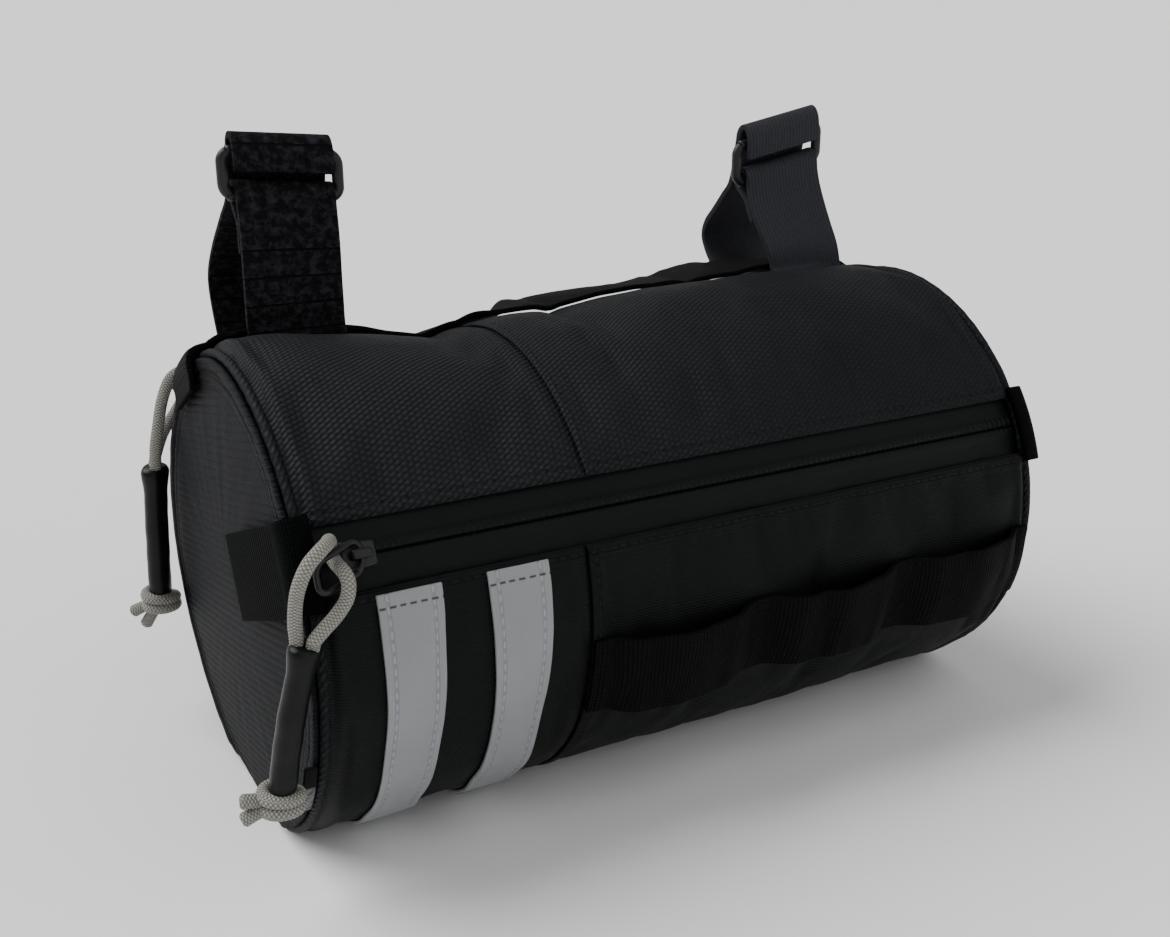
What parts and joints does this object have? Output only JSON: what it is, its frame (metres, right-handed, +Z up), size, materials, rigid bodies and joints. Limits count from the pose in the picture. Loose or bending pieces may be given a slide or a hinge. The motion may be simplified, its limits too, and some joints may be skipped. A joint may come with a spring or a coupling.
{
  "type": "bicycle handlebar bag",
  "caption": "Soft barrel bag that hangs under a bicycle's handlebar on cinch straps, with zips along it, corded zip pulls, ladder webbing and reflective strips",
  "frame": {"origin": "Under the middle of the barrel, on the flat that the bag rests on", "axes": "+X along the barrel from its left end, where the zip pulls are, to its right end; -Y the front, where the reflective strips and the front zip are; +Z up, where the handlebar straps stand"},
  "size_m": [0.2259, 0.1266, 0.1597],
  "materials": {
    "coarse_cloth": "coarse woven nylon",
    "cap_cloth": "ribbed woven nylon",
    "coated_cloth": "smooth coated cloth",
    "zip_tape": "coated zip tape",
    "webbing": "ribbed webbing",
    "strap": "hook-and-loop tape",
    "reflector": "reflective tape",
    "dark_plastic": "moulded",
    "black_metal": "black",
    "grey_cord": "braided cord",
    "label_cloth": "woven tape"
  },
  "bodies": {
    "root": {"end_cap_left": "cap_cloth", "end_cap_right": "cap_cloth", "front_pull_cord": "grey_cord", "front_pull_knot": "grey_cord", "front_pull_sleeve": "dark_plastic", "front_webbing": "webbing", "front_zip_bail": "black_metal", "front_zip_coil": "zip_tape", "front_zip_slider": "black_metal", "front_zip_tab_left": "webbing", "front_zip_tab_right": "webbing", "front_zip_tape_lower": "zip_tape", "front_zip_tape_upper": "zip_tape", "label": "label_cloth", "lower_panel_left": "coated_cloth", "lower_panel_right": "coated_cloth", "rear_pull_cord": "grey_cord", "rear_pull_knot": "grey_cord", "rear_pull_sleeve": "dark_plastic", "rear_webbing": "webbing", "rear_zip_bail": "black_metal", "rear_zip_coil": "zip_tape", "rear_zip_slider": "black_metal", "rear_zip_tape_lower": "zip_tape", "rear_zip_tape_upper": "zip_tape", "reflective_strip_1": "reflector", "reflective_strip_2": "reflector", "rim_binding_left": "coarse_cloth", "rim_binding_right": "coarse_cloth", "ring_left": "dark_plastic", "ring_right": "dark_plastic", "strap_left": "strap", "strap_right": "strap", "upper_panel_left": "coarse_cloth", "upper_panel_right": "coarse_cloth"}
  },
  "joints": []
}
